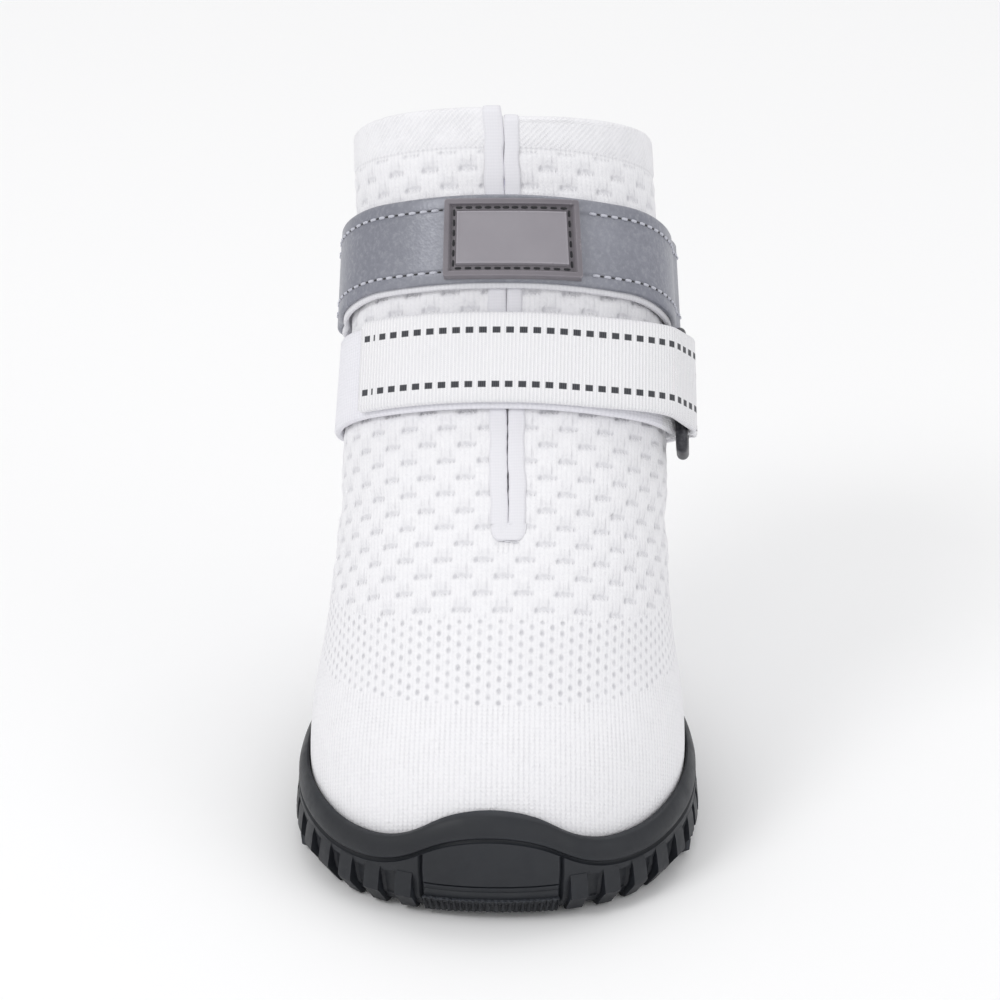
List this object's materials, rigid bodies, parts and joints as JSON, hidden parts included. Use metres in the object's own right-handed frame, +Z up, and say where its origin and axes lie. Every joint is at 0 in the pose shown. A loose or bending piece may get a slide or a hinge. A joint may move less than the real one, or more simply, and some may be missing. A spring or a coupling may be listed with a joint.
{
  "type": "dog boot",
  "caption": "Knit dog boot on a moulded rubber cup sole, with a front slit, a reflective strap and a webbing strap folded through a side ring.",
  "frame": {"origin": "on the floor, under the middle of the boot's bounding box", "axes": "+Z up, toe toward -Y, the strap ring on the +X side"},
  "size_m": [0.061, 0.1079, 0.0998],
  "materials": {
    "knit": "white knit with small open holes, matt",
    "sole_rubber": "dark blue-grey moulded rubber, satin",
    "lining": "white lining cloth",
    "loop_tape": "white brushed loop tape",
    "reflective": "dark grey reflective tape, satin, white edge stitching",
    "badge_rubber": "warm dark grey moulded patch, bare centre panel",
    "webbing": "white ribbed webbing with two rows of dark woven dashes",
    "ring_metal": "dark gunmetal wire"
  },
  "bodies": {
    "root": {"upper": "knit", "outsole": "sole_rubber", "insole": "lining", "loop_band": "loop_tape", "reflective_strap": "reflective", "badge": "badge_rubber", "webbing_strap": "webbing", "ring_tab": "webbing", "strap_ring": "ring_metal"}
  },
  "joints": []
}
